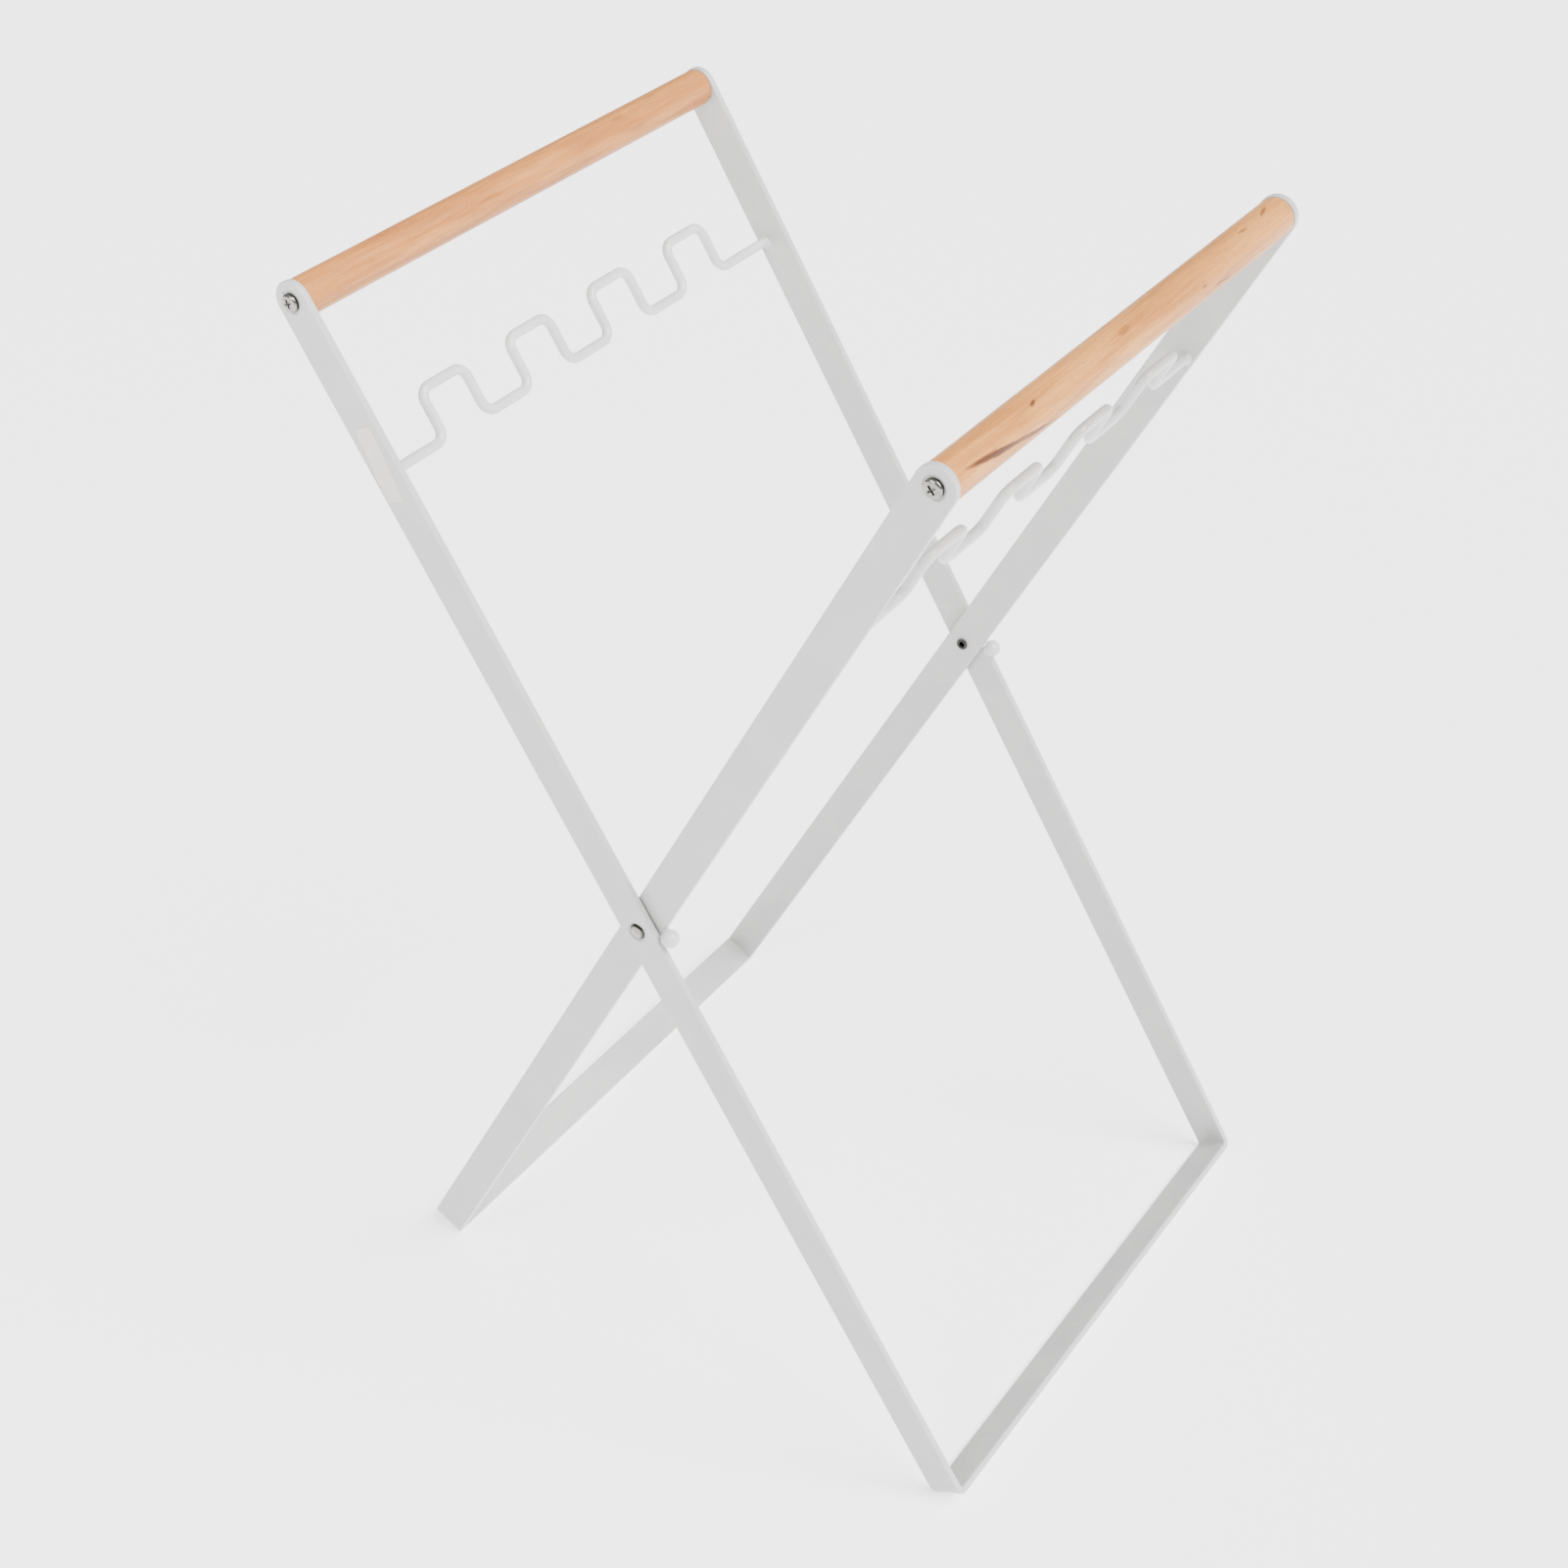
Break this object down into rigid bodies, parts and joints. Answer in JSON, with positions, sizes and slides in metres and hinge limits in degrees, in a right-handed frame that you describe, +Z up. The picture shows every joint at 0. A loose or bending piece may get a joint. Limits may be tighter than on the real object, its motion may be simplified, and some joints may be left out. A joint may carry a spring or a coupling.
{
  "type": "folding X-frame bag and drying stand",
  "caption": "Folding stand of crossed white steel frames with wooden handles and zigzag hook wires.",
  "frame": {"origin": "on the floor under the middle of the opened stand, below the pivot axis", "axes": "+X along the handles, +Y towards the outer frame's handle, +Z up"},
  "size_m": [0.254, 0.2994, 0.495],
  "materials": {
    "painted_steel": "satin",
    "beech": "satin",
    "plated_screw": "polished",
    "nickel_rivet": "polished",
    "washer_steel": "satin",
    "label_film": "matte"
  },
  "bodies": {
    "outer": {"outer_frame": "painted_steel", "outer_hook_wire": "painted_steel", "outer_handle": "beech", "outer_handle_screw_left": "plated_screw", "outer_handle_screw_right": "plated_screw", "pivot_rivet_left": "nickel_rivet", "pivot_rivet_right": "nickel_rivet", "pivot_washer_left": "washer_steel", "pivot_washer_right": "washer_steel", "blank_label": "label_film"},
    "inner": {"inner_frame": "painted_steel", "inner_hook_wire": "painted_steel", "inner_handle": "beech", "inner_handle_screw_left": "plated_screw", "inner_handle_screw_right": "plated_screw", "stop_ball_left": "painted_steel", "stop_ball_right": "painted_steel"}
  },
  "joints": [
    {"name": "fold", "type": "hinge", "parent": "outer", "child": "inner", "pos_m": [0, 0, 0.25146], "axis": [-1, 0, 0], "range_deg": [0, 56]}
  ]
}
